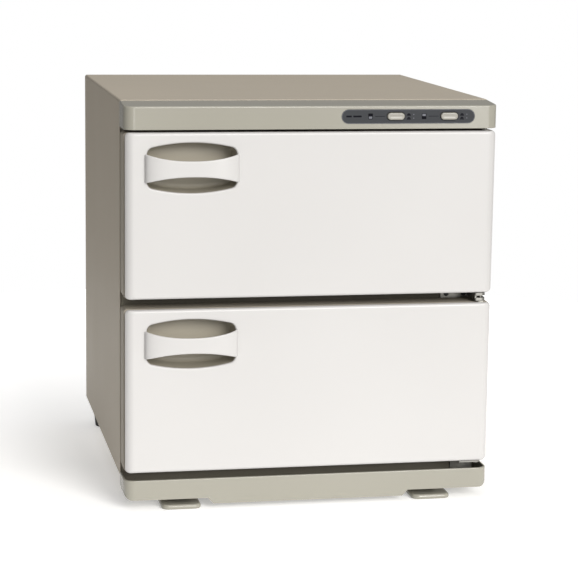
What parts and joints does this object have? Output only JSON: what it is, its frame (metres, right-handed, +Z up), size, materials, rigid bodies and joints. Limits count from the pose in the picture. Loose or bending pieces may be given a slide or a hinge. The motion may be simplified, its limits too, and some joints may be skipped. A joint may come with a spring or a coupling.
{
  "type": "hot towel cabinet",
  "caption": "Beige free-standing hot towel cabinet with white side-hinged doors, each with a strap grip over a finger pocket, above one another, and rocker switches in the top trim.",
  "frame": {"origin": "on the surface it stands on, under the middle of the whole object's box", "axes": "+Z up; the doors face -Y; their hinges are at +X; the mains inlet is at +Y"},
  "size_m": [0.45, 0.4846, 0.4884],
  "materials": {
    "beige_steel": "fine satin powder coat",
    "beige_plastic": "satin moulding",
    "cup_plastic": "satin moulding",
    "white_plastic": "soft gloss moulding",
    "label_film": "printed film",
    "cap_plastic": "satin",
    "black_plastic": "satin",
    "black_rubber": "matt",
    "hinge_steel": "bright plated",
    "stainless_steel": "brushed",
    "chamber_aluminium": "mill finish",
    "thermostat_case": "pressed",
    "tray_plastic": "matt",
    "insulation_wool": "loose fibre blanket",
    "heater_silicone": "matt",
    "nylon": "natural",
    "plated_brass": "bright",
    "cable_jacket": "matt"
  },
  "bodies": {
    "root": {"outer_casing": "beige_steel", "base_pan": "beige_steel", "back_panel": "beige_steel", "front_frame": "beige_plastic", "top_trim": "beige_plastic", "bottom_trim": "beige_plastic", "control_label": "label_film", "upper_switch_body": "black_plastic", "lower_switch_body": "black_plastic", "top_hinge_bracket": "hinge_steel", "middle_hinge_bracket": "hinge_steel", "bottom_hinge_bracket": "hinge_steel", "top_hinge_pin": "hinge_steel", "middle_hinge_pin": "hinge_steel", "bottom_hinge_pin": "hinge_steel", "front_left_foot": "beige_plastic", "front_right_foot": "beige_plastic", "rear_left_foot": "black_rubber", "rear_right_foot": "black_rubber", "power_inlet": "black_plastic", "inlet_line_blade": "plated_brass", "inlet_neutral_blade": "plated_brass", "inlet_earth_blade": "plated_brass", "terminal_block": "nylon", "supply_loom": "cable_jacket", "switch_loom": "cable_jacket", "upper_chamber_liner": "chamber_aluminium", "upper_insulation": "insulation_wool", "upper_heater_mat": "heater_silicone", "upper_thermostat": "thermostat_case", "upper_towel_rack": "stainless_steel", "upper_drip_tray": "tray_plastic", "upper_magnet_catch": "black_plastic", "lower_chamber_liner": "chamber_aluminium", "lower_insulation": "insulation_wool", "lower_heater_mat": "heater_silicone", "lower_thermostat": "thermostat_case", "lower_towel_rack": "stainless_steel", "lower_drip_tray": "tray_plastic", "lower_magnet_catch": "black_plastic"},
    "upper_door": {"upper_door_shell": "white_plastic", "upper_door_inner_tub": "beige_plastic", "upper_handle_cup": "cup_plastic", "upper_door_insulation": "insulation_wool", "upper_door_gasket": "black_rubber", "upper_strike_plate": "stainless_steel", "upper_door_bottom_bush": "nylon", "upper_door_top_bush": "nylon"},
    "upper_rocker": {"upper_rocker_cap": "cap_plastic"},
    "lower_door": {"lower_door_shell": "white_plastic", "lower_door_inner_tub": "beige_plastic", "lower_handle_cup": "cup_plastic", "lower_door_insulation": "insulation_wool", "lower_door_gasket": "black_rubber", "lower_strike_plate": "stainless_steel", "lower_door_bottom_bush": "nylon", "lower_door_top_bush": "nylon"},
    "lower_rocker": {"lower_rocker_cap": "cap_plastic"}
  },
  "joints": [
    {"name": "upper_door_hinge", "type": "hinge", "parent": "root", "child": "upper_door", "pos_m": [0.2128, -0.2153, 0.3557], "axis": [0, 0, 1], "range_deg": [0, 110]},
    {"name": "lower_door_hinge", "type": "hinge", "parent": "root", "child": "lower_door", "pos_m": [0.2128, -0.2153, 0.14585], "axis": [0, 0, 1], "range_deg": [0, 110]},
    {"name": "upper_rocker_tilt", "type": "hinge", "parent": "root", "child": "upper_rocker", "pos_m": [0.0983, -0.2255, 0.4721], "axis": [1, 0, 0], "range_deg": [-7, 7]},
    {"name": "lower_rocker_tilt", "type": "hinge", "parent": "root", "child": "lower_rocker", "pos_m": [0.1637, -0.2255, 0.4721], "axis": [1, 0, 0], "range_deg": [-7, 7]}
  ]
}
